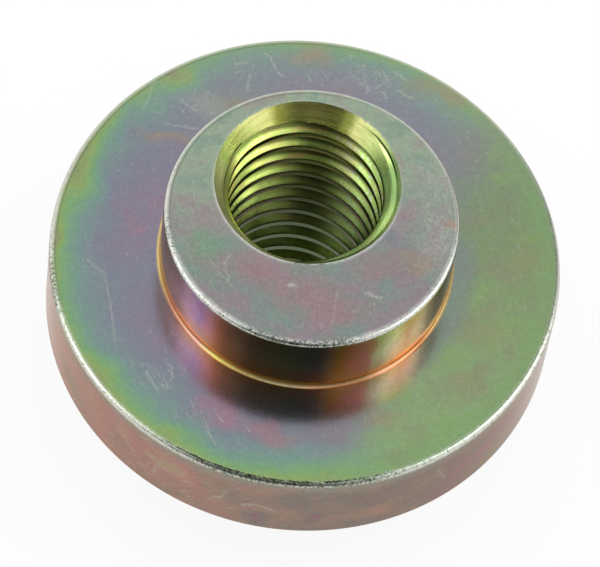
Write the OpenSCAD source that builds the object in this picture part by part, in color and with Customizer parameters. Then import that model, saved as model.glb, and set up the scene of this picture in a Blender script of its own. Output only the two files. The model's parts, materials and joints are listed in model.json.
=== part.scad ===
// Eccentric nut, in millimetres. A round flange and its boss are turned about one axis.
// The tapped hole and the spanner hexagon share a second axis, set off from the first.
// The origin lies on the flange's axis, in the end face of the hexagon that the nut
// stands on, and the second axis lies towards +Y.

/* [Flange] */
// Diameter of the round flange
flange_d = 40; // [36:0.5:60]
// Thickness of the flange
flange_h = 8; // [4:0.5:16]
// Radius of the flange's rounded edges
flange_edge_r = 0.4; // [0.1:0.05:1.5]

/* [Boss] */
// Height of the boss above the flange
boss_h = 6.5; // [4:0.5:14]
// Narrowest land on the boss, from the countersink to the boss's side
boss_land = 1.15; // [0.8:0.05:4]
// Radius of the boss's rounded top edge
boss_edge_r = 0.3; // [0.1:0.05:0.7]
// Radius of the fillet round the foot of the boss
boss_fillet_r = 0.2; // [0.1:0.05:1.5]

/* [Tapped hole] */
// Nominal diameter of the thread
thread_d = 14; // [8:1:16]
// Pitch of the thread
thread_pitch = 2; // [1:0.25:2.5]
// Distance from the flange's axis to the hole's axis
eccentricity = 3; // [0.5:0.1:4]
// How far each countersink reaches past the thread's nominal diameter, all round
countersink_over = 0.25; // [0.1:0.05:0.75]
// Angle between the two sides of each countersink
countersink_angle = 75; // [60:5:120]

/* [Hexagon] */
// Width across the flats of the spanner hexagon
hex_af = 22; // [20:0.5:26]
// Height of the hexagon below the flange
hex_h = 11; // [6:0.5:20]
// How far the round end face stops short of the flats
hex_face_inset = 0.5; // [0.2:0.1:1]
// Angle of the corner chamfer to the end face
hex_chamfer_angle = 30; // [15:5:45]

/* [Hidden] */
$fn = 128;

// The hole is drilled to the tap size, which is the nominal diameter less the pitch
bore_d = thread_d - thread_pitch;
countersink_d = thread_d + 2 * countersink_over;
countersink_h = (countersink_d - bore_d) / 2 / tan(countersink_angle / 2);
boss_d = countersink_d + 2 * (eccentricity + boss_land);
hex_corner_d = hex_af / cos(30);
hex_face_d = hex_af - 2 * hex_face_inset;
flange_top = hex_h + flange_h;
boss_top = flange_top + boss_h;
// Length by which a cut runs past a face, and a solid runs into its neighbour
overrun = 1;

// Outline of a square outer corner less its rounding, with the corner at the origin
module corner_waste(radius) {
    translate([-radius, -radius])
        difference() {
            square(radius + overrun);
            circle(radius);
        }
}

// Outline of a fillet in an inner corner at the origin, rooted in both of its walls
module fillet(radius) {
    difference() {
        translate([-overrun, -overrun])
            square(radius + overrun);
        translate([radius, radius])
            circle(radius);
    }
}

// Half section of the flange and boss about their own axis
module turned_section() {
    difference() {
        union() {
            translate([0, hex_h])
                square([flange_d / 2, flange_h]);
            translate([0, hex_h])
                square([boss_d / 2, flange_h + boss_h]);
            translate([boss_d / 2, flange_top])
                fillet(boss_fillet_r);
        }
        translate([flange_d / 2, flange_top])
            corner_waste(flange_edge_r);
        translate([flange_d / 2, hex_h])
            mirror([0, 1])
                corner_waste(flange_edge_r);
        translate([boss_d / 2, boss_top])
            corner_waste(boss_edge_r);
    }
}

// Hexagon on the hole's axis, rooted in the flange, with its end corners chamfered
module spanner_hexagon() {
    rooted_h = hex_h + overrun;
    intersection() {
        linear_extrude(rooted_h)
            circle(d = hex_corner_d, $fn = 6);
        cylinder(h = rooted_h, d1 = hex_face_d, d2 = hex_face_d + 2 * rooted_h / tan(hex_chamfer_angle));
    }
}

// Countersink opening downwards in the plane z = 0
module countersink() {
    slope = (countersink_d - bore_d) / countersink_h;
    translate([0, 0, -overrun])
        cylinder(h = countersink_h + overrun, d1 = countersink_d + slope * overrun, d2 = bore_d);
}

// Tapped hole through the whole nut, countersunk at both ends
module tapped_hole() {
    translate([0, 0, -overrun])
        cylinder(h = boss_top + 2 * overrun, d = bore_d);
    countersink();
    translate([0, 0, boss_top])
        mirror([0, 0, 1])
            countersink();
}

module eccentric_nut() {
    color("darkkhaki")
        difference() {
            union() {
                rotate_extrude()
                    turned_section();
                translate([0, eccentricity, 0])
                    spanner_hexagon();
            }
            translate([0, eccentricity, 0])
                tapped_hole();
        }
}

eccentric_nut();
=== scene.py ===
"""Looks of the eccentric nut: its cut thread, its iridescent zinc plate, light, floor and camera."""
import json
import math

import bmesh
import bpy
from mathutils import Matrix, Vector


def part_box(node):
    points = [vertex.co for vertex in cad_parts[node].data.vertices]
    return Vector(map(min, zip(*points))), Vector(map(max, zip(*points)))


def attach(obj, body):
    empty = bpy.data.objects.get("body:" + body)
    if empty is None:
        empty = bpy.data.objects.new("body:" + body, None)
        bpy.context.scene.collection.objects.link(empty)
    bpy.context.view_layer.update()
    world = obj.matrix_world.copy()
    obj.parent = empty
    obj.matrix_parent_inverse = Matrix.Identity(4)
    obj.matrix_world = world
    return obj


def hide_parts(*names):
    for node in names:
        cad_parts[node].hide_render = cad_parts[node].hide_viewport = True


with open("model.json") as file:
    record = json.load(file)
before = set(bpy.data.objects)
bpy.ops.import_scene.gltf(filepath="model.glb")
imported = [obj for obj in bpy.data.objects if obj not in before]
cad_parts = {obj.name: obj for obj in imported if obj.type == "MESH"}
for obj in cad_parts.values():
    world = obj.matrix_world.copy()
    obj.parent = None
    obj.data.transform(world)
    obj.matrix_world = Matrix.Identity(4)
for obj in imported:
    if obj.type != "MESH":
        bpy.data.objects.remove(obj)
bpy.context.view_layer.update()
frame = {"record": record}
MM = 0.001

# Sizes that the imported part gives
mounts = {mount["name"]: mount for mount in frame["record"]["mounts"]}
low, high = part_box("eccentric_nut")
FLANGE_R = round((high[0] - low[0]) / 2, 5)
BOSS_TOP = high[2]
FLANGE_TOP = mounts["flange_seat"]["pos_m"][2]
BOSS_R = mounts["boss"]["dims"]["r_mm"] * MM
HOLE_Y = mounts["thread"]["pos_m"][1]
BORE_R = mounts["thread"]["dims"]["r_mm"] * MM
COUNTERSINK_H = (BOSS_TOP - mounts["thread"]["dims"]["length_mm"] * MM) / 2

# Sizes that it does not give, as in the part's source
FLANGE_H = 8 * MM
FLANGE_EDGE_R = 0.4 * MM
BOSS_EDGE_R = 0.3 * MM
BOSS_FILLET_R = 0.2 * MM
THREAD_R = 7 * MM
THREAD_PITCH = 2 * MM
COUNTERSINK_R = 7.25 * MM
HEX_FLAT_R = 11 * MM
HEX_FACE_R = 10.5 * MM
HEX_CHAMFER = math.radians(30)
FLANGE_BOTTOM = FLANGE_TOP - FLANGE_H

# The camera, about the middle of the flange's top
CAMERA_AZIMUTH = math.radians(-13.92)
CAMERA_ELEVATION = math.radians(60.64)
CAMERA_ROLL = math.radians(-8.87)
CAMERA_DISTANCE = 390 * MM
CAMERA_LENS = 300.0
# How far that middle lies right of the view's axis, and above it
FRAME_RIGHT = 0.436 * MM
FRAME_UP = 2.076 * MM

# The thread's turn: height of one crest above the base, at this angle round the hole
CREST_Z = 22.45 * MM
CREST_ANGLE = math.radians(76)

# Columns round the part, a multiple of six so that the hexagon's corners fall on them
COLUMNS = 192
ANGLES = [2 * math.pi * column / COLUMNS for column in range(COLUMNS)]


def ring(radius, height, centre_y=0.0):
    """Points of a level circle about the flange's axis, or about another axis on the Y line."""
    return [Vector((radius * math.cos(a), centre_y + radius * math.sin(a), height)) for a in ANGLES]


def between(first, last, shares):
    """Rings part of the way from one ring to another."""
    return [[p.lerp(q, share) for p, q in zip(first, last)] for share in shares]


def arc_rings(centre_r, centre_z, radius, start, end, steps=5):
    """Rings along an arc of the half section, from one angle to another in degrees."""
    rings = []
    for step in range(steps + 1):
        turn = math.radians(start + (end - start) * step / steps)
        rings.append(ring(centre_r + radius * math.cos(turn), centre_z + radius * math.sin(turn)))
    return rings


def hexagon_radius(angle):
    """Distance from the hexagon's axis to its side, in a direction."""
    sector = math.radians(60)
    from_flat = (angle % sector) - sector / 2
    return HEX_FLAT_R / math.cos(from_flat)


def hexagon_ring(height_of):
    """Points on the hexagon's sides, at the height that a function gives for their radius."""
    points = []
    for angle in ANGLES:
        radius = hexagon_radius(angle)
        across = radius * math.cos(angle)
        along = HOLE_Y + radius * math.sin(angle)
        points.append(Vector((across, along, height_of(radius))))
    return points


def outer_rings():
    """All rings outside the hole, from the mouth on the boss round to the mouth on the hexagon's end."""
    # Shares that keep a narrow strip at both ends, so that flat faces shade flat
    flat = (0.02, 0.3, 0.6, 0.98)
    mouth = ring(COUNTERSINK_R, BOSS_TOP, HOLE_Y)
    boss_edge = arc_rings(BOSS_R - BOSS_EDGE_R, BOSS_TOP - BOSS_EDGE_R, BOSS_EDGE_R, 90, 0)
    fillet = arc_rings(BOSS_R + BOSS_FILLET_R, FLANGE_TOP + BOSS_FILLET_R, BOSS_FILLET_R, 180, 270)
    edge_r = FLANGE_R - FLANGE_EDGE_R
    upper_edge = arc_rings(edge_r, FLANGE_TOP - FLANGE_EDGE_R, FLANGE_EDGE_R, 90, 0)
    lower_edge = arc_rings(edge_r, FLANGE_BOTTOM + FLANGE_EDGE_R, FLANGE_EDGE_R, 0, -90)
    hex_root = hexagon_ring(lambda radius: FLANGE_BOTTOM)
    hex_end = hexagon_ring(lambda radius: (radius - HEX_FACE_R) * math.tan(HEX_CHAMFER))
    hex_face = ring(HEX_FACE_R, 0.0, HOLE_Y)
    end_mouth = ring(COUNTERSINK_R, 0.0, HOLE_Y)
    rings = [mouth]
    rings += between(mouth, boss_edge[0], flat) + boss_edge
    rings += between(boss_edge[-1], fillet[0], flat) + fillet
    rings += between(fillet[-1], upper_edge[0], flat) + upper_edge
    rings += between(upper_edge[-1], lower_edge[0], flat) + lower_edge
    rings += between(lower_edge[-1], hex_root, flat) + [hex_root]
    rings += between(hex_root, hex_end, flat) + [hex_end]
    rings += between(hex_end, hex_face, flat) + [hex_face]
    rings += between(hex_face, end_mouth, flat) + [end_mouth]
    return rings


# Rows of the thread within half a pitch of a crest, close together at its corners, in shares of the pitch
HALF_ROWS = (0.075, 0.125, 0.142, 0.149, 0.156, 0.175, 0.21, 0.26, 0.31, 0.36, 0.4, 0.43, 0.46)
ROWS = [-share for share in reversed(HALF_ROWS)] + [0.0] + list(HALF_ROWS) + [0.5]
ROOT_FLAT = THREAD_PITCH / 8
FLANK_SLOPE = 1 / math.tan(math.radians(30))
CORNER = 0.03 * MM


def thread_radius(offset):
    """Radius of the thread at a height above the middle of a crest, with its corners eased."""
    flank = FLANK_SLOPE * (THREAD_PITCH / 2 - ROOT_FLAT / 2 - abs(offset))
    rise = THREAD_R - flank
    eased = CORNER * math.log1p(math.exp(min((rise - BORE_R) / CORNER, 60)))
    return min(BORE_R + eased, THREAD_R)


def hole_radius(offset, height):
    """Radius of the hole: the thread, or a countersink where that is wider."""
    slope = (COUNTERSINK_R - BORE_R) / COUNTERSINK_H
    from_mouth = min(height, BOSS_TOP - height)
    return max(thread_radius(offset), COUNTERSINK_R - slope * from_mouth)


def thread_rows():
    """Rows that climb one pitch in each turn, cut off level at both mouths."""
    first_turn = math.floor((0.0 - CREST_Z) / THREAD_PITCH) - 2
    last_turn = math.ceil((BOSS_TOP - CREST_Z) / THREAD_PITCH) + 2
    rows = []
    for turn in range(first_turn, last_turn + 1):
        for share in ROWS:
            row = []
            for angle in ANGLES:
                climb = THREAD_PITCH * (turn + share + (angle - CREST_ANGLE) / (2 * math.pi))
                height = min(max(CREST_Z + climb, 0.0), BOSS_TOP)
                radius = hole_radius(share * THREAD_PITCH, height)
                if height in (0.0, BOSS_TOP):
                    radius = COUNTERSINK_R
                row.append(Vector((radius * math.cos(angle), HOLE_Y + radius * math.sin(angle), height)))
            rows.append(row)
    return rows


def nut_mesh():
    """The whole nut as one closed mesh."""
    rings = outer_rings()
    rows = thread_rows()
    points = [point for line in rings + rows for point in line]
    first_row = len(rings)
    faces = []

    def corner(line, column, lines_per_turn):
        turns, column = divmod(column, COLUMNS)
        return (line + turns * lines_per_turn) * COLUMNS + column

    def strip(line, lines_per_turn, last_line):
        for column in range(COLUMNS):
            if line + 1 + (column + 1) // COLUMNS * lines_per_turn > last_line:
                continue
            faces.append([
                corner(line, column, lines_per_turn),
                corner(line, column + 1, lines_per_turn),
                corner(line + 1, column + 1, lines_per_turn),
                corner(line + 1, column, lines_per_turn),
            ])

    for line in range(first_row - 1):
        strip(line, 0, first_row - 1)
    last_row = first_row + len(rows) - 1
    for line in range(first_row, last_row):
        strip(line, len(ROWS), last_row)
    mesh = bpy.data.meshes.new("eccentric_nut_body")
    mesh.from_pydata(points, [], faces)
    build = bmesh.new()
    build.from_mesh(mesh)
    bmesh.ops.remove_doubles(build, verts=build.verts, dist=0.001 * MM)
    bmesh.ops.dissolve_degenerate(build, edges=build.edges, dist=0.0001 * MM)
    bmesh.ops.recalc_face_normals(build, faces=build.faces)
    build.to_mesh(mesh)
    build.free()
    for polygon in mesh.polygons:
        polygon.use_smooth = True
    mesh.set_sharp_from_angle(angle=math.radians(38))
    return mesh


class Nodes:
    """Short calls that add shader nodes to a tree and link them."""

    def __init__(self, tree):
        self.tree = tree

    def add(self, kind, inputs=None, **settings):
        node = self.tree.nodes.new("ShaderNode" + kind)
        for name, value in settings.items():
            setattr(node, name, value)
        for name, value in (inputs or {}).items():
            self.put(node.inputs[name], value)
        return node

    def put(self, socket, value):
        if isinstance(value, bpy.types.NodeSocket):
            self.tree.links.new(value, socket)
        else:
            socket.default_value = value

    def math(self, operation, first, second=0.0, clamp=False):
        node = self.add("Math", {0: first, 1: second}, operation=operation, use_clamp=clamp)
        return node.outputs[0]

    def plus(self, first, *others):
        for other in others:
            first = self.math("ADD", first, other)
        return first

    def times(self, first, *others):
        for other in others:
            first = self.math("MULTIPLY", first, other)
        return first

    def swing(self, value, amount):
        return self.times(self.math("SUBTRACT", value, 0.5), amount)

    def blend(self, share, first, second):
        inputs = {"Factor": share, "A": first, "B": second}
        return self.add("Mix", inputs, data_type="FLOAT").outputs["Result"]

    def vector(self, operation, first, second=(0.0, 0.0, 0.0)):
        node = self.add("VectorMath", {0: first, 1: second}, operation=operation)
        return node.outputs["Value" if operation in ("LENGTH", "DOT_PRODUCT", "DISTANCE") else "Vector"]

    def scaled(self, vector, factor):
        return self.add("VectorMath", {0: vector, "Scale": factor}, operation="SCALE").outputs["Vector"]

    def step(self, value, start, end, low=0.0, high=1.0):
        inputs = {"Value": value, "From Min": start, "From Max": end, "To Min": low, "To Max": high}
        return self.add("MapRange", inputs, interpolation_type="SMOOTHSTEP").outputs["Result"]

    def noise(self, vector, scale, detail=2.0, roughness=0.5, distortion=0.0):
        inputs = {"Vector": vector, "Scale": scale, "Detail": detail, "Roughness": roughness}
        inputs["Distortion"] = distortion
        return self.add("TexNoise", inputs).outputs["Fac"]

    def mix(self, share, first, second):
        node = self.add("Mix", data_type="RGBA")
        self.put(node.inputs["Factor"], share)
        self.put(node.inputs["A"], first)
        self.put(node.inputs["B"], second)
        return node.outputs["Result"]

    def dimmed(self, colour, factor):
        node = self.add("Mix", {"Factor": factor}, data_type="RGBA", clamp_factor=False, clamp_result=True)
        self.put(node.inputs["A"], (0.0, 0.0, 0.0, 1.0))
        self.put(node.inputs["B"], colour)
        return node.outputs["Result"]

    def ramp(self, value, stops):
        node = self.add("ValToRGB", {"Fac": value})
        elements = node.color_ramp.elements
        elements[0].position, elements[0].color = stops[0][0], (*stops[0][1], 1)
        elements[1].position, elements[1].color = stops[-1][0], (*stops[-1][1], 1)
        for position, colour in stops[1:-1]:
            elements.new(position).color = (*colour, 1)
        return node.outputs["Color"]


# Interference colours of the plate's film on the left of the flange's top, from thin to thick
FILM = (
    (0.0, (0.38, 0.25, 0.16)),
    (0.07, (0.35, 0.2, 0.24)),
    (0.16, (0.25, 0.215, 0.28)),
    (0.29, (0.22, 0.235, 0.29)),
    (0.42, (0.205, 0.28, 0.28)),
    (0.55, (0.195, 0.33, 0.25)),
    (0.66, (0.205, 0.375, 0.185)),
    (0.76, (0.26, 0.385, 0.14)),
    (0.88, (0.27, 0.32, 0.15)),
    (1.0, (0.31, 0.26, 0.17)),
)
# Sage green on its right, from the front to the back
RIGHT_FILM = (
    (0.03, (0.25, 0.378, 0.176)),
    (0.25, (0.246, 0.345, 0.18)),
    (0.41, (0.234, 0.326, 0.165)),
    (0.63, (0.214, 0.293, 0.164)),
    (0.84, (0.21, 0.285, 0.18)),
    (1.0, (0.22, 0.3, 0.2)),
)
# The film on the turned outside of the flange, warmer because it is seen at a slant
SIDE_FILM = (
    (0.0, (0.36, 0.265, 0.185)),
    (0.2, (0.37, 0.195, 0.18)),
    (0.4, (0.28, 0.195, 0.16)),
    (0.6, (0.2, 0.175, 0.155)),
    (0.8, (0.22, 0.155, 0.165)),
    (1.0, (0.29, 0.135, 0.185)),
)
# Film colours round the boss's outside, from left to right as the camera sees it, with painted highlight
# bands; and at its foot, film colours with the painted highlight along the fillet
BOSS_FILM_AND_HIGHLIGHTS = (
    (0.03, (0.59, 0.385, 0.27)),
    (0.07, (0.86, 0.57, 0.53)),
    (0.12, (0.79, 0.52, 0.6)),
    (0.18, (0.47, 0.31, 0.49)),
    (0.25, (0.94, 0.325, 0.166)),
    (0.33, (0.77, 0.52, 0.235)),
    (0.5, (0.44, 0.58, 0.235)),
    (0.59, (0.31, 0.33, 0.25)),
    (0.67, (0.52, 0.25, 0.01)),
    (0.745, (0.95, 0.31, 0.28)),
    (0.77, (0.95, 0.42, 0.32)),
    (0.785, (1.0, 0.84, 0.52)),
    (0.82, (1.0, 0.86, 0.58)),
    (0.88, (0.65, 0.28, 0.175)),
    (0.95, (1.0, 0.78, 0.62)),
)
FOOT_FILM_AND_HIGHLIGHT = (
    (0.01, (0.65, 0.5, 0.21)),
    (0.03, (0.46, 0.32, 0.12)),
    (0.07, (0.4, 0.18, 0.125)),
    (0.12, (0.56, 0.29, 0.18)),
    (0.18, (0.87, 0.53, 0.47)),
    (0.25, (1.0, 0.94, 0.24)),
    (0.33, (0.8, 0.62, 0.2)),
    (0.5, (1.0, 0.9, 0.5)),
    (0.59, (1.0, 0.65, 0.34)),
    (0.67, (0.55, 0.3, 0.15)),
    (0.75, (0.4, 0.245, 0.1)),
    (0.82, (0.93, 0.5, 0.31)),
    (0.88, (0.95, 0.49, 0.24)),
    (0.93, (0.53, 0.22, 0.075)),
    (0.99, (0.5, 0.37, 0.15)),
)
# Film colours round the countersink, from its left through its back to its right, with painted highlight and
# shade bands
CONE_FILM_AND_HIGHLIGHTS = (
    (0.1, (0.95, 1.0, 0.55)),
    (0.25, (0.9, 1.0, 0.42)),
    (0.285, (0.5, 0.68, 0.16)),
    (0.32, (0.88, 1.0, 0.26)),
    (0.385, (1.0, 1.0, 0.39)),
    (0.407, (1.0, 1.0, 0.36)),
    (0.422, (0.5, 0.56, 0.1)),
    (0.49, (1.0, 1.0, 0.29)),
    (0.56, (0.45, 0.53, 0.12)),
    (0.575, (1.0, 1.0, 0.41)),
    (0.617, (0.75, 0.9, 0.35)),
    (0.68, (0.28, 0.48, 0.16)),
    (0.75, (0.36, 0.58, 0.21)),
    (0.79, (0.64, 0.98, 0.34)),
    (0.86, (0.26, 0.4, 0.15)),
)
# Colours of the thread's crests, from the hexagon's end up to the boss: painted shade, darkest halfway up,
# and a painted reflection low down
CREST_SHADE_AND_REFLECTION = (
    (0.2, (0.1, 0.145, 0.085)),
    (0.34, (0.08, 0.115, 0.07)),
    (0.5, (0.032, 0.044, 0.02)),
    (0.64, (0.032, 0.046, 0.015)),
    (0.8, (0.08, 0.095, 0.022)),
    (0.88, (0.13, 0.135, 0.028)),
)
# Colours along the thread's drag marks
THREAD_FILM = (
    (0.3, (0.3, 0.42, 0.09)),
    (0.5, (0.44, 0.56, 0.13)),
    (0.66, (0.5, 0.42, 0.12)),
)
THREAD_GREEN = (0.38, 0.6, 0.2, 1.0)
# Painted shade deeper down the thread, and in its grooves
THREAD_DEPTH_SHADE = (0.2, 0.28, 0.1, 1.0)
THREAD_GROOVE_SHADE = (0.03, 0.04, 0.01, 1.0)
# Torn metal and brown drag marks
TORN_METAL = (0.58, 0.7, 0.5, 1.0)
DRAG_BROWN = (0.4, 0.29, 0.07, 1.0)
# Painted dark line where the countersink meets the thread
LIP_SHADE = (0.05, 0.06, 0.01, 1.0)
# Patches on the right of the flange, and the green along its rim
WARM_GREY = (0.255, 0.262, 0.178, 1.0)
LIME = (0.235, 0.37, 0.13, 1.0)
RIM_GREEN = (0.215, 0.36, 0.15, 1.0)
# The boss's top, and the flange's outside under its edge and in its streaks
BOSS_FRONT = (0.25, 0.262, 0.256, 1.0)
BOSS_BACK = (0.308, 0.388, 0.285, 1.0)
BOSS_GREEN = (0.2, 0.3, 0.25, 1.0)
RUBBED_FILM = (0.4, 0.42, 0.37, 1.0)
UNDER_EDGE = (0.25, 0.26, 0.215, 1.0)
STREAK = (0.4, 0.37, 0.31, 1.0)
# A painted orange reflection on the boss's side over its foot, and the painted highlight along the foot; bare
# and dark metal at the edges, haze and scratches
BOSS_REFLECTED_GLOW = (0.95, 0.46, 0.1, 1.0)
FOOT_HIGHLIGHT_GOLD = (1.0, 0.8, 0.45, 1.0)
BARE_ZINC = (0.76, 0.78, 0.72, 1.0)
DARK_ZINC = (0.13, 0.14, 0.11, 1.0)
BURR = (0.035, 0.04, 0.025, 1.0)
HAZE = (0.34, 0.36, 0.31, 1.0)
SCUFFED = (0.47, 0.5, 0.43, 1.0)
# How the plate tints what it mirrors at a slant
SLANT_TINT = (0.85, 0.74, 0.66, 1.0)

# Patches where the film is thicker or thinner: middle, half sizes in millimetres, change of film
FLANGE_PATCHES = (
    (-18.0, 4.5, 2.6, 4.5, 0.24),
    (-19.2, -1.8, 1.0, 1.4, 0.16),
    (-11.8, 14.2, 2.8, 2.2, 0.26),
    (-15.4, 10.1, 2.4, 2.6, -0.18),
    (-13.6, -13.3, 3.0, 2.6, 0.1),
    (-7.7, -17.2, 2.8, 1.4, 0.1),
    (-13.2, -1.0, 1.8, 4.0, -0.05),
)
# On the flange's outside the second place is the height
SIDE_PATCHES = (
    (-16.5, 13.0, 3.0, 1.8, 0.2),
    (-12.5, 16.5, 2.5, 1.6, -0.2),
    (-8.0, 15.5, 3.5, 2.0, -0.25),
    (-0.6, 12.4, 1.6, 1.6, 0.4),
    (3.8, 13.6, 0.9, 1.6, 0.45),
    (8.5, 14.0, 4.0, 2.0, -0.15),
    (14.0, 15.0, 3.0, 2.5, 0.2),
)
# Colours of the stains
BROWN = (0.33, 0.255, 0.175, 1.0)
PINK = (0.35, 0.2, 0.22, 1.0)
ROSE = (0.34, 0.21, 0.27, 1.0)
BLUE = (0.2, 0.225, 0.275, 1.0)
MAUVE = (0.26, 0.22, 0.25, 1.0)
GREEN = (0.19, 0.33, 0.2, 1.0)
TEAL = (0.205, 0.285, 0.25, 1.0)
RUST = (0.42, 0.22, 0.13, 1.0)
OLIVE = (0.29, 0.285, 0.15, 1.0)
# Stains: middle, half sizes in millimetres, colour, strength
FLANGE_STAINS = (
    (-7.0, 12.5, 6.5, 4.0, TEAL, 0.55),
    (-9.4, 12.3, 3.2, 1.6, HAZE, 0.6),
    (-2.0, 18.2, 2.8, 1.3, BROWN, 0.8),
    (7.3, 17.0, 2.2, 1.8, BROWN, 0.6),
    (9.5, 16.3, 2.4, 1.6, BROWN, 0.7),
    (-12.4, 8.7, 3.4, 1.0, BROWN, 0.7),
    (-7.3, 13.0, 2.2, 1.4, BROWN, 0.5),
    (17.0, 3.0, 2.2, 3.4, OLIVE, 0.45),
    (15.0, -4.5, 2.6, 2.2, OLIVE, 0.5),
    (14.0, -8.5, 2.4, 1.6, OLIVE, 0.5),
    (12.0, 12.2, 3.4, 3.6, MAUVE, 0.5),
    (-4.4, -14.6, 3.0, 1.9, ROSE, 0.9),
    (-0.4, -15.8, 3.6, 1.5, PINK, 0.75),
    (3.8, -15.0, 3.0, 1.6, MAUVE, 0.7),
    (8.0, -13.0, 2.4, 1.6, BROWN, 0.5),
)
BOSS_STAINS = (
    (-8.0, -4.5, 2.3, 2.3, GREEN, 0.75),
    (-8.2, -1.4, 1.8, 1.6, ROSE, 0.2),
    (-3.6, -5.6, 4.6, 2.6, PINK, 0.65),
    (1.8, -7.4, 5.4, 2.8, PINK, 0.75),
    (5.6, -3.8, 3.0, 1.6, PINK, 0.55),
    (8.6, -2.8, 2.6, 1.3, BROWN, 0.7),
    (6.2, -0.8, 2.2, 1.8, BLUE, 0.6),
    (7.6, 1.2, 1.6, 2.2, ROSE, 0.35),
    (11.0, 0.6, 0.7, 1.1, RUST, 0.8),
)
# Places where small scratches crowd together: middle, half sizes in millimetres, strength
FRONT_SCUFFS = (
    (-10.0, -12.4, 3.0, 2.4, 1.0),
    (-6.5, -15.2, 3.0, 2.2, 0.6),
    (-16.8, -3.0, 1.2, 2.0, 0.7),
    (14.0, -10.5, 4.0, 3.0, 0.25),
)
BACK_SCUFFS = (
    (-11.0, 12.0, 3.5, 3.0, 1.0),
    (-7.0, 15.6, 2.2, 1.8, 0.9),
    (3.0, 17.0, 4.5, 2.2, 1.1),
    (-2.0, 16.5, 2.5, 1.5, 0.7),
)
BOSS_SCUFFS = (
    (-6.5, -6.0, 3.0, 3.0, 0.6),
    (0.5, -6.6, 4.0, 2.5, 0.5),
    (6.0, -6.5, 2.5, 2.0, 0.6),
    (9.0, 3.5, 2.5, 5.0, 0.9),
    (-9.5, 1.0, 2.0, 5.0, 0.4),
)
BOSS_RUBBED = (
    (10.0, -0.5, 2.4, 4.8, 0.8),
    (8.5, 5.5, 2.2, 3.0, 0.4),
)
# Scratches: start, end, width in millimetres, strength
FLANGE_SCRATCHES = (
    (-16.7, -3.2, -15.3, -4.2, 0.25, 0.35),
    (-15.3, -4.2, -14.8, -5.4, 0.16, 0.35),
    (-14.8, -5.4, -14.0, -8.1, 0.16, 0.42),
    (-14.0, -8.1, -13.6, -9.9, 0.16, 0.38),
    (-10.8, -12.2, -9.6, -13.7, 0.2, 0.6),
    (-9.0, -11.2, -8.6, -12.3, 0.2, 0.5),
    (-5.4, -16.2, -4.7, -17.5, 0.16, 0.5),
    (-5.7, 17.8, -4.0, 16.1, 0.18, 0.6),
    (-6.6, 15.6, -6.6, 14.1, 0.2, 0.5),
    (-7.8, 16.4, -7.0, 16.8, 0.25, 0.5),
    (-14.0, 13.8, -14.4, 11.2, 0.16, 0.45),
    (-12.5, 10.0, -9.9, 10.0, 0.18, 0.45),
    (-11.6, 12.4, -10.4, 11.6, 0.25, 0.45),
    (2.0, 16.5, 3.0, 16.0, 0.2, 0.6),
    (3.8, 17.8, 4.3, 17.2, 0.26, 0.6),
    (4.8, 18.0, 5.6, 17.4, 0.26, 0.6),
    (4.0, 16.0, 4.4, 15.5, 0.26, 0.5),
    (5.2, 16.4, 6.4, 15.8, 0.2, 0.5),
)
BOSS_SCRATCHES = (
    (-5.8, -4.5, -5.9, -5.8, 0.16, 0.55),
    (-5.9, -5.8, -5.5, -7.0, 0.16, 0.55),
    (5.0, -6.0, 6.2, -6.2, 0.24, 0.7),
    (2.8, -6.3, 2.8, -9.3, 0.2, 0.3),
    (1.2, -4.6, 1.6, -5.6, 0.16, 0.3),
    (-0.9, -6.4, -0.4, -6.4, 0.3, 0.85),
    (8.3, -3.0, 8.4, -3.0, 0.2, 0.9),
)
SIDE_SCRATCHES = (
    (-9.2, 13.4, -8.7, 15.4, 0.3, 0.35),
    (-4.6, 13.6, -3.6, 14.6, 0.3, 0.35),
    (-3.6, 14.6, -3.2, 15.9, 0.3, 0.35),
    (-1.9, 14.4, -0.9, 14.9, 0.3, 0.4),
    (-0.9, 14.9, 0.6, 14.4, 0.3, 0.35),
    (-12.0, 15.8, -10.8, 14.6, 0.3, 0.3),
    (12.6, 17.0, 13.2, 14.6, 0.3, 0.25),
)
# Directions of the small scratches, in degrees
FRONT_TURNS = (48, 57, 66)
BACK_TURNS = (-25, 40, 95)


def new_group(name, inputs):
    """Empty shader group with these vector inputs and one mask as its output."""
    tree = bpy.data.node_groups.new(name, "ShaderNodeTree")
    for given in inputs:
        tree.interface.new_socket(name=given, in_out="INPUT", socket_type="NodeSocketVector")
    tree.interface.new_socket(name="Mask", in_out="OUTPUT", socket_type="NodeSocketFloat")
    given = tree.nodes.new("NodeGroupInput").outputs
    mask = tree.nodes.new("NodeGroupOutput").inputs[0]
    return tree, given, mask


def patch_group():
    """Soft oval: one in its middle, nothing outside it."""
    tree, given, mask = new_group("patch", ("Place", "Middle", "Size"))
    n = Nodes(tree)
    away = n.vector("DIVIDE", n.vector("SUBTRACT", given["Place"], given["Middle"]), given["Size"])
    n.put(mask, n.step(n.vector("LENGTH", away), 1.0, 0.0))
    return tree


def scratch_group():
    """Thin soft line between two points."""
    tree, given, mask = new_group("scratch", ("Place", "Start", "End", "Width"))
    n = Nodes(tree)
    along = n.vector("SUBTRACT", given["End"], given["Start"])
    away = n.vector("SUBTRACT", given["Place"], given["Start"])
    length = n.vector("LENGTH", along)
    share = n.vector("DOT_PRODUCT", away, n.vector("NORMALIZE", along))
    share = n.math("DIVIDE", share, length, clamp=True)
    distance = n.vector("DISTANCE", away, n.scaled(along, share))
    n.put(mask, n.step(n.math("DIVIDE", distance, n.vector("LENGTH", given["Width"])), 1.0, 0.0))
    return tree


# The part's sizes in millimetres, as the plate's shader measures
RIM_R = FLANGE_R / MM
SEAT_Z = FLANGE_TOP / MM
UNDERSIDE_Z = FLANGE_BOTTOM / MM
WALL_R = BOSS_R / MM
TOP_Z = BOSS_TOP / MM
MOUTH_R = COUNTERSINK_R / MM
CREST_R = BORE_R / MM
CONE_Z = (BOSS_TOP - COUNTERSINK_H) / MM


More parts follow.
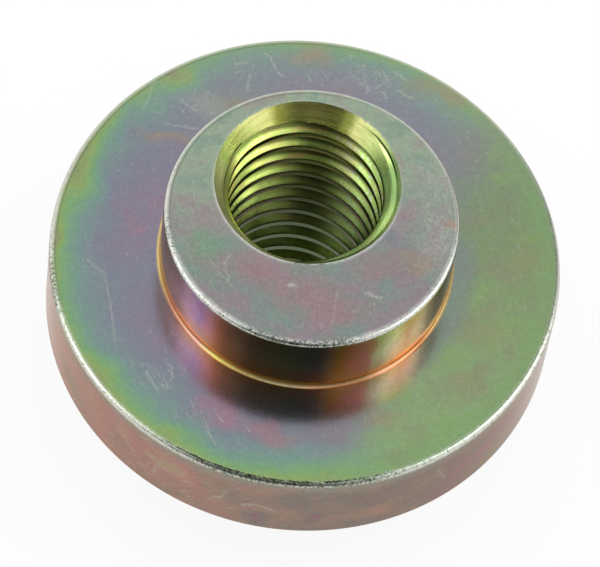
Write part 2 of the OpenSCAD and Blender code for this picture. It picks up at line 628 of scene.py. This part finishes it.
class Plate:
    """Zinc plate with an iridescent yellow film, worn to bare metal along its edges."""

    def __init__(self):
        self.material = bpy.data.materials.new("yellow_zinc")
        self.material.use_nodes = True
        self.n = n = Nodes(self.material.node_tree)
        self.patch = patch_group()
        self.scratch = scratch_group()

        # Places in millimetres, turned so that X runs to the right in the photograph and Y away from it
        solid = n.scaled(n.add("TexCoord").outputs["Object"], 1 / MM)
        turned = {"Vector": solid, "Angle": -CAMERA_AZIMUTH}
        self.place = n.add("VectorRotate", turned, rotation_type="Z_AXIS").outputs[0]
        self.x, self.y, self.z = n.add("SeparateXYZ", {0: self.place}).outputs
        self.level = n.add("CombineXYZ", {0: self.x, 1: self.y}).outputs[0]
        self.upright = n.add("CombineXYZ", {0: self.x, 1: self.z}).outputs[0]
        self.radius = n.vector("LENGTH", self.level)
        hole_x = -HOLE_Y / MM * math.sin(-CAMERA_AZIMUTH)
        hole_y = HOLE_Y / MM * math.cos(-CAMERA_AZIMUTH)
        self.hole_x = n.math("SUBTRACT", self.x, hole_x)
        self.hole_y = n.math("SUBTRACT", self.y, hole_y)
        self.hole_r = n.vector("DISTANCE", self.level, (hole_x, hole_y, 0.0))

        # Noise from clouds to grain, and shifts that make patches and scratches uneven
        self.clouds = n.noise(self.place, 0.16, 3.0, 0.5, 0.4)
        self.mottle = n.noise(self.place, 0.8, 4.0, 0.6)
        self.chips = n.noise(self.place, 2.2, 2.0)
        self.grain = n.noise(self.place, 5.0, 3.0, 0.7)
        self.ripple = n.plus(n.swing(self.clouds, 0.36), n.swing(self.mottle, 0.2))
        self.drift = self.shift(0.35, 4.0, 3.6)
        self.tremble = self.shift(1.0, 2.0, 0.6)
        self.shaky = n.vector("ADD", self.level, self.tremble)
        self.wander = n.vector("ADD", self.level, self.drift)

        # Where each face is
        self.above_flange = n.step(self.z, SEAT_Z - 0.45, SEAT_Z - 0.05)
        self.on_boss = n.step(self.radius, WALL_R + 0.32, WALL_R + 0.16)
        self.boss_up = n.step(self.z, TOP_Z - 0.35, TOP_Z - 0.1)
        from_mouth = n.plus(self.hole_r, n.swing(self.grain, 0.4), -MOUTH_R)
        self.in_hole = n.step(from_mouth, 0.04, -0.04)
        self.at_cone = n.step(self.z, CONE_Z - 0.05, CONE_Z + 0.05)
        self.behind = n.step(self.y, -6.0, 2.0)

    def shift(self, scale, detail, amount):
        """Level shift of a place by noise."""
        n = self.n
        noise = n.add("TexNoise", {"Vector": self.place, "Scale": scale, "Detail": detail}).outputs["Color"]
        noise = n.vector("SUBTRACT", noise, (0.5, 0.5, 0.5))
        return n.vector("MULTIPLY", noise, (amount, amount, 0.0))

    def oval(self, place, across, along, half_across, half_along):
        """Mask of one soft oval."""
        inputs = {"Place": place, "Middle": (across, along, 0.0), "Size": (half_across, half_along, 1.0)}
        return self.n.add("Group", inputs, node_tree=self.patch).outputs["Mask"]

    def with_patches(self, value, patches, place):
        """A value raised or lowered in some patches."""
        for *oval, change in patches:
            value = self.n.plus(value, self.n.times(self.oval(place, *oval), change))
        return value

    def stained(self, colour, stains, place):
        """A colour with stains over it."""
        for *oval, stain, strength in stains:
            colour = self.n.mix(self.n.times(self.oval(place, *oval), strength), colour, stain)
        return colour

    def scratched(self, scratches, place):
        """Mask of a list of scratches."""
        total = 0.0
        for start_x, start_y, end_x, end_y, width, strength in scratches:
            inputs = {"Place": place, "Start": (start_x, start_y, 0.0), "End": (end_x, end_y, 0.0)}
            inputs["Width"] = (width, 0.0, 0.0)
            mask = self.n.times(self.n.add("Group", inputs, node_tree=self.scratch).outputs["Mask"], strength)
            total = self.n.math("MAXIMUM", mask, total)
        return total

    def flange_top(self):
        """Film thick at the rim and thin by the boss, sage green on the right, hazy at the back."""
        n = self.n
        outwards = n.math("DIVIDE", n.math("SUBTRACT", self.radius, 12.5), 7.3, clamp=True)
        film = n.plus(n.times(n.math("POWER", outwards, 2.2), 0.6), 0.2)
        film = n.plus(film, n.step(self.y, 7.0, 17.0, 0.0, -0.06), self.ripple)
        film = self.with_patches(film, FLANGE_PATCHES, self.wander)
        backwards = n.plus(n.times(n.vector("DOT_PRODUCT", self.wander, (0.0, 1.0, 0.0)), 0.031), 0.5)
        right = n.ramp(backwards, RIGHT_FILM)
        patchy = n.noise(self.place, 0.38, 3.0, 0.55, 0.3)
        right = n.mix(n.step(patchy, 0.48, 0.68, 0.0, 0.6), right, WARM_GREY)
        right = n.mix(n.step(patchy, 0.46, 0.3, 0.0, 0.5), right, LIME)
        right = n.mix(n.step(self.radius, 17.4, 18.9, 0.0, 0.5), right, RIM_GREEN)
        by_boss = n.times(n.step(self.radius, 14.2, 12.3), n.step(self.y, 5.5, 2.0, 0.0, 0.5))
        right = n.mix(by_boss, right, BLUE)
        share = n.step(n.vector("DOT_PRODUCT", self.wander, (0.985, -0.17, 0.0)), 5.0, 12.5)
        colour = n.mix(share, n.ramp(film, FILM), right)
        colour = self.stained(colour, FLANGE_STAINS, self.wander)
        return n.mix(n.step(self.y, 6.0, 18.0, 0.0, 0.22), colour, HAZE)

    def boss_top(self):
        """Grey film, greener and paler at the back, with pink stains in front and a rubbed right side."""
        n = self.n
        back = n.step(n.vector("DOT_PRODUCT", self.wander, (-0.25, 0.97, 0.0)), -6.0, 7.0)
        colour = n.mix(back, BOSS_FRONT, BOSS_BACK)
        cloudy = n.noise(self.place, 0.42, 3.0, 0.55, 0.3)
        colour = n.mix(n.step(cloudy, 0.46, 0.62, 0.0, 0.38), colour, ROSE)
        colour = n.mix(n.step(cloudy, 0.48, 0.32, 0.0, 0.6), colour, BOSS_GREEN)
        colour = self.stained(colour, BOSS_STAINS, self.wander)
        rubbed = self.with_patches(0.0, BOSS_RUBBED, self.wander)
        rubbed = n.times(rubbed, n.step(self.grain, 0.35, 0.6, 0.2, 0.8))
        return n.mix(rubbed, colour, RUBBED_FILM)

    def flange_side(self):
        """Salmon, tan and mauve blotches, grey under the upper edge."""
        n = self.n
        blots = n.noise(n.vector("MULTIPLY", self.place, (1.0, 1.0, 1.5)), 0.24, 3.0, 0.5, 0.2)
        drawn = n.vector("ADD", self.upright, self.drift)
        film = n.plus(n.swing(blots, 0.85), n.swing(self.mottle, 0.18), n.times(self.x, 0.014), 0.45)
        side = n.ramp(self.with_patches(film, SIDE_PATCHES, drawn), SIDE_FILM)
        under_edge = n.step(n.plus(self.z, n.swing(self.mottle, 1.6)), 17.0, 18.7, 0.0, 0.75)
        side = n.mix(under_edge, side, UNDER_EDGE)
        slanted = {"Vector": self.upright, "Angle": math.radians(-35)}
        slanted = n.add("VectorRotate", slanted, rotation_type="Z_AXIS").outputs[0]
        streaks = n.noise(n.vector("MULTIPLY", slanted, (0.7, 4.5, 1.0)), 1.0, 3.0, 0.6, 0.2)
        streaks = n.times(n.step(streaks, 0.54, 0.7), n.step(self.x, 4.0, -6.0, 0.1, 0.5))
        return n.mix(streaks, side, STREAK)

    def boss_side(self):
        """Upright bands of film colour with painted highlights, brighter low down, a painted orange
        reflection over the foot, a painted dark line just above it and a painted gold highlight along the
        foot.
        """
        n = self.n
        across = n.math("DIVIDE", n.plus(self.x, WALL_R), 2 * WALL_R)
        # Film colours and painted highlight bands round the boss
        bands = n.ramp(n.plus(across, n.swing(self.mottle, 0.05)), BOSS_FILM_AND_HIGHLIGHTS)
        above_foot = n.plus(self.z, -SEAT_Z)
        uneven = n.plus(above_foot, n.swing(self.mottle, 1.2))
        # Painted light: brighter towards the foot, darker towards the top
        bands = n.dimmed(bands, n.step(uneven, 6.0, 2.0, 0.72, 1.12))
        # Painted orange reflection over the foot, strongest in front
        in_front = n.step(n.math("ABSOLUTE", self.x), 10.6, 8.4, 0.1, 1.0)
        glow = n.times(n.step(uneven, 3.6, 0.2, 0.0, 0.75), in_front)
        bands = n.mix(glow, bands, BOSS_REFLECTED_GLOW)
        # Painted shade: a dark line just above the foot
        bands = n.dimmed(bands, n.step(above_foot, 0.55, 0.25, 1.0, 0.6))
        # Painted highlight along the foot
        foot = n.mix(n.step(above_foot, 0.06, 0.12, 0.0, 0.75), n.ramp(across, FOOT_FILM_AND_HIGHLIGHT), FOOT_HIGHLIGHT_GOLD)
        return n.mix(n.step(above_foot, 0.24, 0.18), bands, foot)

    def hole(self):
        """Yellow countersink above a lime thread, torn on the right, with painted highlight and shade bands
        round the countersink, painted light on the thread's sides and painted shade deeper down, in the
        grooves and at the countersink's foot.
        """
        n = self.n
        drag = n.noise(n.vector("MULTIPLY", self.place, (0.35, 0.35, 5.0)), 1.0, 3.0, 0.6)
        thread = n.ramp(drag, THREAD_FILM)
        torn = n.noise(n.vector("MULTIPLY", self.place, (4.0, 4.0, 1.2)), 1.0, 2.0)
        torn = n.times(n.step(torn, 0.54, 0.64), n.step(self.x, 0.0, 3.0, 0.15, 0.75))
        thread = n.mix(n.step(self.hole_x, 1.0, 3.0, 0.0, 0.4), thread, THREAD_GREEN)
        thread = n.mix(torn, thread, TORN_METAL)
        # Painted shade: darker deeper down the thread
        thread = n.mix(n.step(self.z, 20.0, 9.0, 0.0, 0.5), thread, THREAD_DEPTH_SHADE)
        # Painted light: brighter on the thread's sides and high up, less at the far sides, and on the lower
        # left
        sides = n.step(n.math("ABSOLUTE", n.plus(self.hole_x, 0.5)), 1.2, 3.0)
        light = n.blend(sides, n.step(self.z, 15.0, 23.0, 0.4, 1.5), n.step(self.z, 14.0, 20.0, 0.95, 2.4))
        light = n.times(light, n.step(n.math("ABSOLUTE", self.hole_x), 3.8, 5.2, 1.0, 0.42))
        light = n.times(light, n.step(self.hole_x, 2.8, 4.8, 1.0, 0.4))
        light = n.times(light, n.step(self.hole_x, -4.2, -5.4, 1.0, 0.7))
        low_left_light = n.times(n.step(self.hole_x, -3.6, -4.6), n.step(self.z, 17.0, 14.0, 0.0, 1.8))
        thread = n.dimmed(thread, n.plus(light, low_left_light))
        # Painted shade in the grooves below each crest
        groove_shade = n.step(self.hole_r, CREST_R + 0.22, CREST_R + 0.52)
        groove_shade = n.times(groove_shade, n.step(self.z, 9.0, 20.0, 0.0, 0.78))
        thread = n.mix(groove_shade, thread, THREAD_GROOVE_SHADE)
        # Crests with painted shade halfway up and a painted reflection low down
        crest = n.ramp(n.times(self.z, 1 / TOP_Z), CREST_SHADE_AND_REFLECTION)
        thread = n.mix(n.step(self.hole_r, CREST_R + 0.03, CREST_R + 0.008), thread, crest)
        across = n.plus(n.times(n.math("ARCTAN2", self.hole_x, self.hole_y), 0.5 / math.pi), 0.5)
        # Film colours round the countersink, with painted highlight and shade bands
        cone = n.ramp(n.plus(across, n.swing(self.mottle, 0.02)), CONE_FILM_AND_HIGHLIGHTS)
        cone = n.mix(n.step(drag, 0.45, 0.62, 0.0, 0.3), cone, DRAG_BROWN)
        # Painted shade: a dark line where the countersink meets the thread
        lip_shade = n.step(n.math("ABSOLUTE", n.plus(self.z, -CONE_Z - 0.03)), 0.14, 0.04, 0.0, 0.8)
        thread = n.mix(lip_shade, thread, LIP_SHADE)
        cone = n.mix(lip_shade, cone, LIP_SHADE)
        return n.mix(self.at_cone, thread, cone)

    def dashes(self, turn, crowd):
        """Mask of small scratches in one direction, most of them where a crowd is."""
        n = self.n
        turned = {"Vector": self.place, "Angle": math.radians(turn)}
        along = n.add("VectorRotate", turned, rotation_type="Z_AXIS").outputs[0]
        dash = n.noise(n.vector("MULTIPLY", along, (1.1, 5.5, 2.5)), 1.0, 1.0)
        return n.step(n.plus(dash, n.times(crowd, 0.14)), 0.7, 0.86, 0.0, 0.5)

    def marks(self):
        """Scratches through the film, and the small ones that crowd in some places."""
        n = self.n
        on_flange = n.times(self.above_flange, n.step(self.radius, WALL_R + 0.4, WALL_R + 0.6))
        scratches = n.times(self.scratched(FLANGE_SCRATCHES, self.shaky), on_flange)
        scratches = n.plus(scratches, n.times(self.scratched(BOSS_SCRATCHES, self.shaky), self.boss_up))
        drawn = n.vector("ADD", self.upright, self.tremble)
        on_side = n.times(n.step(self.radius, RIM_R - 0.5, RIM_R - 0.1), n.step(self.y, 0.0, -2.0))
        scratches = n.plus(scratches, n.times(self.scratched(SIDE_SCRATCHES, drawn), on_side))
        front = n.times(self.with_patches(0.0, FRONT_SCUFFS, self.wander), on_flange)
        front = n.plus(front, n.times(self.with_patches(0.0, BOSS_SCUFFS, self.wander), self.boss_up))
        back = n.times(self.with_patches(0.0, BACK_SCUFFS, self.wander), on_flange)
        for turns, crowd in ((FRONT_TURNS, front), (BACK_TURNS, back)):
            for turn in turns:
                scratches = n.math("MAXIMUM", scratches, self.dashes(turn, crowd))
        scratches = n.times(scratches, n.step(self.grain, 0.38, 0.58, 0.2, 0.9))
        return n.times(scratches, n.math("SUBTRACT", 1.0, self.in_hole))

    def near(self, from_axis, edge_r, edge_z):
        """Distance from a round edge."""
        offset = self.n.add("CombineXYZ", {0: from_axis, 1: self.z}).outputs[0]
        return self.n.vector("DISTANCE", offset, (edge_r, edge_z, 0.0))

    def worn(self):
        """How far the edges are rubbed through the film: frayed in front, a thin line at the back."""
        n = self.n
        fray = n.plus(n.swing(self.chips, 0.3), n.swing(self.grain, 0.5))
        fray = n.times(fray, n.step(self.behind, 0.0, 1.0, 1.0, 0.6))
        speckle = n.step(n.plus(self.grain, n.times(self.behind, 0.2)), 0.32, 0.52, 0.35, 1.0)

        def rubbed(edge, reach, strength):
            return n.times(n.step(n.plus(edge, fray), reach, 0.04), strength, speckle)

        front = n.step(self.y, 14.0, -4.0, 0.6, 0.92)
        rim_reach = n.step(self.y, 4.0, -8.0, 0.36, 0.48)
        worn = rubbed(self.near(self.radius, RIM_R - 0.12, SEAT_Z - 0.12), rim_reach, front)
        lower_rim = self.near(self.radius, RIM_R - 0.12, UNDERSIDE_Z + 0.12)
        worn = n.math("MAXIMUM", worn, rubbed(lower_rim, 0.34, 0.6))
        boss_reach = n.step(self.y, 4.0, -8.0, 0.26, 0.55)
        boss_edge = self.near(self.radius, WALL_R - 0.12, TOP_Z - 0.08)
        worn = n.math("MAXIMUM", worn, rubbed(boss_edge, boss_reach, front))
        mouth = n.step(self.y, 4.0, -2.0, 0.1, 0.5)
        return n.math("MAXIMUM", worn, rubbed(self.near(self.hole_r, MOUTH_R, TOP_Z), 0.3, mouth))

    def bare(self):
        """Colour of the rubbed metal: a painted highlight at the back and on two sides, elsewhere speckled
        dark.
        """
        n = self.n
        way = n.vector("NORMALIZE", self.level)
        # Painted highlight on the rubbed metal at the back and on two sides
        painted_glint = n.step(n.vector("DOT_PRODUCT", way, (-0.66, -0.75, 0.0)), 0.86, 0.98)
        painted_glint = n.plus(painted_glint, n.step(n.vector("DOT_PRODUCT", way, (0.8, -0.6, 0.0)), 0.82, 0.97), self.behind)
        return n.mix(n.step(n.plus(self.grain, n.times(painted_glint, 0.16)), 0.42, 0.6), DARK_ZINC, BARE_ZINC)

    def grooves(self):
        """Thin dark lines just inside the edges on the left and at the back."""
        n = self.n
        way = n.vector("NORMALIZE", self.level)
        left = n.step(n.vector("DOT_PRODUCT", way, (-0.8, 0.6, 0.0)), 0.3, 0.7)
        from_rim = n.math("ABSOLUTE", n.plus(self.radius, n.swing(self.chips, 0.3), 0.46 - RIM_R))
        rim = n.times(n.step(from_rim, 0.1, 0.03, 0.0, 0.5), self.above_flange)
        from_boss = n.math("ABSOLUTE", n.plus(self.radius, n.swing(self.chips, 0.12), 0.42 - WALL_R))
        boss = n.times(n.step(from_boss, 0.1, 0.03, 0.0, 0.4), self.boss_up)
        return n.times(n.plus(rim, boss), left)

    def finish(self):
        """Join all faces into one material."""
        n = self.n
        colour = n.mix(self.above_flange, self.flange_side(), self.flange_top())
        colour = n.mix(n.times(self.on_boss, self.above_flange), colour, self.boss_side())
        colour = n.mix(n.times(self.on_boss, self.boss_up), colour, self.boss_top())
        colour = n.mix(self.in_hole, colour, self.hole())
        speckle = n.times(n.swing(self.grain, 0.55), n.step(self.boss_up, 0.0, 1.0, 0.6, 1.0))
        colour = n.dimmed(colour, n.plus(1.0, speckle, n.swing(self.chips, 0.2)))
        colour = n.mix(self.grooves(), colour, DARK_ZINC)
        colour = n.mix(self.marks(), colour, SCUFFED)
        worn = self.worn()
        colour = n.mix(worn, colour, self.bare())

        # Dark burr just inside the front of the rim
        from_burr = n.math("ABSOLUTE", n.math("SUBTRACT", self.radius, RIM_R - 0.34))
        from_burr = n.plus(from_burr, n.swing(self.chips, 0.2), n.swing(self.grain, 0.2))
        burr = n.step(from_burr, 0.11, 0.02, 0.0, 0.95)
        burr = n.times(burr, self.above_flange, n.step(self.y, -17.2, -18.4))
        burr = n.times(burr, n.step(self.mottle, 0.38, 0.5, 0.2, 1.0))
        colour = n.mix(burr, colour, BURR)

        # Smooth plate, rougher in the thread, at the boss's foot and on the front of the countersink
        in_thread = n.times(self.in_hole, n.math("SUBTRACT", 1.0, self.at_cone))
        in_cone = n.times(self.in_hole, self.at_cone, n.step(self.y, 6.5, 4.5, 0.0, 1.0))
        rough = n.step(self.grain, 0.25, 0.75, 0.15, 0.21)
        at_foot = n.times(n.step(self.z, SEAT_Z + 0.7, SEAT_Z + 0.2), self.on_boss, self.above_flange)
        rough = n.plus(rough, n.times(in_thread, 0.05), n.times(in_cone, 0.15), n.times(at_foot, 0.2))
        rough = n.blend(worn, rough, 0.32)

        # Height in millimetres: grain, rough edges, and the countersink's turning rings
        rings = {"W": n.times(self.z, 8.0), "Detail": 2.0}
        rings = n.add("TexNoise", rings, noise_dimensions="1D").outputs["Fac"]
        height = n.times(self.grain, n.plus(0.0008, n.times(worn, 0.018), n.times(in_thread, 0.004)))
        rings = n.times(rings, self.in_hole, self.at_cone, n.step(self.y, 6.5, 4.5, 0.004, 0.015))
        bump = {"Height": n.plus(height, rings), "Strength": 1.0, "Distance": MM}
        bump = n.add("Bump", bump).outputs["Normal"]

        shader = self.material.node_tree.nodes["Principled BSDF"]
        n.put(shader.inputs["Base Color"], colour)
        shader.inputs["Metallic"].default_value = 1.0
        shader.inputs["Specular Tint"].default_value = SLANT_TINT
        n.put(shader.inputs["Roughness"], rough)
        n.put(shader.inputs["Normal"], bump)
        return self.material


def add_nut():
    """The nut as it shows, in place of the plain solid."""
    mesh = nut_mesh()
    mesh.materials.append(Plate().finish())
    nut = bpy.data.objects.new("eccentric_nut_body", mesh)
    bpy.context.scene.collection.objects.link(nut)
    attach(nut, "root")
    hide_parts("eccentric_nut")
    return nut


def add_camera():
    """Camera at the photograph's viewing angle."""
    ahead = Vector((0, math.cos(CAMERA_ELEVATION), -math.sin(CAMERA_ELEVATION)))
    right = Vector((1, 0, 0))
    up = right.cross(ahead)
    turned_right = right * math.cos(CAMERA_ROLL) - up * math.sin(CAMERA_ROLL)
    turned_up = right * math.sin(CAMERA_ROLL) + up * math.cos(CAMERA_ROLL)
    turn = Matrix.Rotation(CAMERA_AZIMUTH, 3, "Z")
    ahead, right, up = (turn @ way for way in (ahead, turned_right, turned_up))
    middle = Vector((0, 0, FLANGE_TOP))
    place = middle - ahead * CAMERA_DISTANCE - right * FRAME_RIGHT - up * FRAME_UP
    data = bpy.data.cameras.new("camera")
    data.lens = CAMERA_LENS
    data.sensor_width = 36.0
    data.sensor_fit = "HORIZONTAL"
    data.clip_start = 0.01
    camera = bpy.data.objects.new("camera", data)
    camera.matrix_world = Matrix((right, up, -ahead)).transposed().to_4x4()
    camera.location = place
    bpy.context.scene.collection.objects.link(camera)
    bpy.context.scene.camera = camera


def direction(azimuth, elevation):
    """Unit vector towards a place round the part: azimuth 0 is the camera's side, positive to its right."""
    turn = CAMERA_AZIMUTH + math.radians(azimuth)
    rise = math.radians(elevation)
    return Vector((math.sin(turn) * math.cos(rise), -math.cos(turn) * math.cos(rise), math.sin(rise)))


def add_lamp(name, azimuth, elevation, distance, width, height, power):
    """Oblong soft lamp that faces the part, with its sizes in metres and its power in watts."""
    data = bpy.data.lights.new(name, "AREA")
    data.shape = "RECTANGLE"
    data.size = width
    data.size_y = height
    data.energy = power
    lamp = bpy.data.objects.new(name, data)
    way = direction(azimuth, elevation)
    lamp.location = way * distance
    lamp.rotation_euler = way.to_track_quat("Z", "Y").to_euler()
    lamp.visible_camera = False
    bpy.context.scene.collection.objects.link(lamp)


def seen_by_eye_or_mirror(n):
    """One for rays that see the background: from the camera, a reflection or a transmission."""
    path = n.add("LightPath").outputs
    seen = n.math("MAXIMUM", path["Is Camera Ray"], path["Is Glossy Ray"])
    return n.math("MAXIMUM", seen, path["Is Transmission Ray"])


FLOOR_SIZE = 4.0
FLOOR_GLOW = 0.88


def add_floor():
    """White floor that keeps a soft shadow."""
    mesh = bpy.data.meshes.new("floor")
    half = FLOOR_SIZE / 2
    corners = [(-half, -half, 0), (half, -half, 0), (half, half, 0), (-half, half, 0)]
    mesh.from_pydata(corners, [], [(0, 1, 2, 3)])
    floor = bpy.data.objects.new("floor", mesh)
    bpy.context.scene.collection.objects.link(floor)
    material = bpy.data.materials.new("floor_white")
    material.use_nodes = True
    tree = material.node_tree
    tree.nodes.remove(tree.nodes["Principled BSDF"])
    n = Nodes(tree)
    matt = n.add("BsdfDiffuse", {"Color": (0.9, 0.9, 0.9, 1.0)}).outputs[0]
    glow = n.add("Emission", {"Color": (1.0, 1.0, 1.0, 1.0), "Strength": 1.0}).outputs[0]
    share = n.math("MULTIPLY", seen_by_eye_or_mirror(n), FLOOR_GLOW)
    mixed = n.add("MixShader", {0: share, 1: matt, 2: glow}).outputs[0]
    n.put(tree.nodes["Material Output"].inputs["Surface"], mixed)
    mesh.materials.append(material)


def set_world():
    """White surroundings."""
    world = bpy.data.worlds.new("studio")
    world.use_nodes = True
    bpy.context.scene.world = world
    background = world.node_tree.nodes["Background"]
    background.inputs["Color"].default_value = (1.0, 1.0, 1.0, 1.0)
    background.inputs["Strength"].default_value = 1.0


SCREEN_DISTANCE = 0.5


def add_screen(name, start, end, bottom, top, shade):
    """Curved screen that only the metal sees, from one azimuth and elevation to another in degrees."""
    steps = 16
    points = []
    for row in range(steps + 1):
        for column in range(steps + 1):
            azimuth = start + (end - start) * column / steps
            elevation = bottom + (top - bottom) * row / steps
            points.append(direction(azimuth, elevation) * SCREEN_DISTANCE)
    faces = []
    for row in range(steps):
        for column in range(steps):
            first = row * (steps + 1) + column
            faces.append((first, first + 1, first + steps + 2, first + steps + 1))
    mesh = bpy.data.meshes.new(name)
    mesh.from_pydata(points, [], faces)
    screen = bpy.data.objects.new(name, mesh)
    bpy.context.scene.collection.objects.link(screen)
    material = bpy.data.materials.new(name)
    material.use_nodes = True
    tree = material.node_tree
    tree.nodes.remove(tree.nodes["Principled BSDF"])
    n = Nodes(tree)
    glow = n.add("Emission", {"Color": (shade, shade, shade, 1.0), "Strength": 1.0}).outputs[0]
    n.put(tree.nodes["Material Output"].inputs["Surface"], glow)
    mesh.materials.append(material)
    screen.visible_camera = False
    screen.visible_diffuse = False
    screen.visible_shadow = False


add_nut()
add_camera()
add_floor()
set_world()
# Screens: first and last azimuth, lowest and highest elevation, shade
add_screen("screen_front", -38, 32, 18, 92, 0.105)
add_screen("screen_low", -27, 43, 3, 18, 0.105)
add_screen("screen_front_left", -60, -38, 20, 92, 0.4)
add_screen("screen_front_right", 32, 66, 20, 92, 0.8)
add_screen("screen_right", 118, 150, 3, 75, 0.4)
# Lamps: azimuth, elevation, distance, width, height, power
add_lamp("lamp_left", -82, 44, 0.6, 0.18, 0.5, 0.56)
add_lamp("lamp_right", 99, 44, 0.6, 0.18, 0.5, 0.85)
bpy.context.scene.view_settings.view_transform = "Standard"
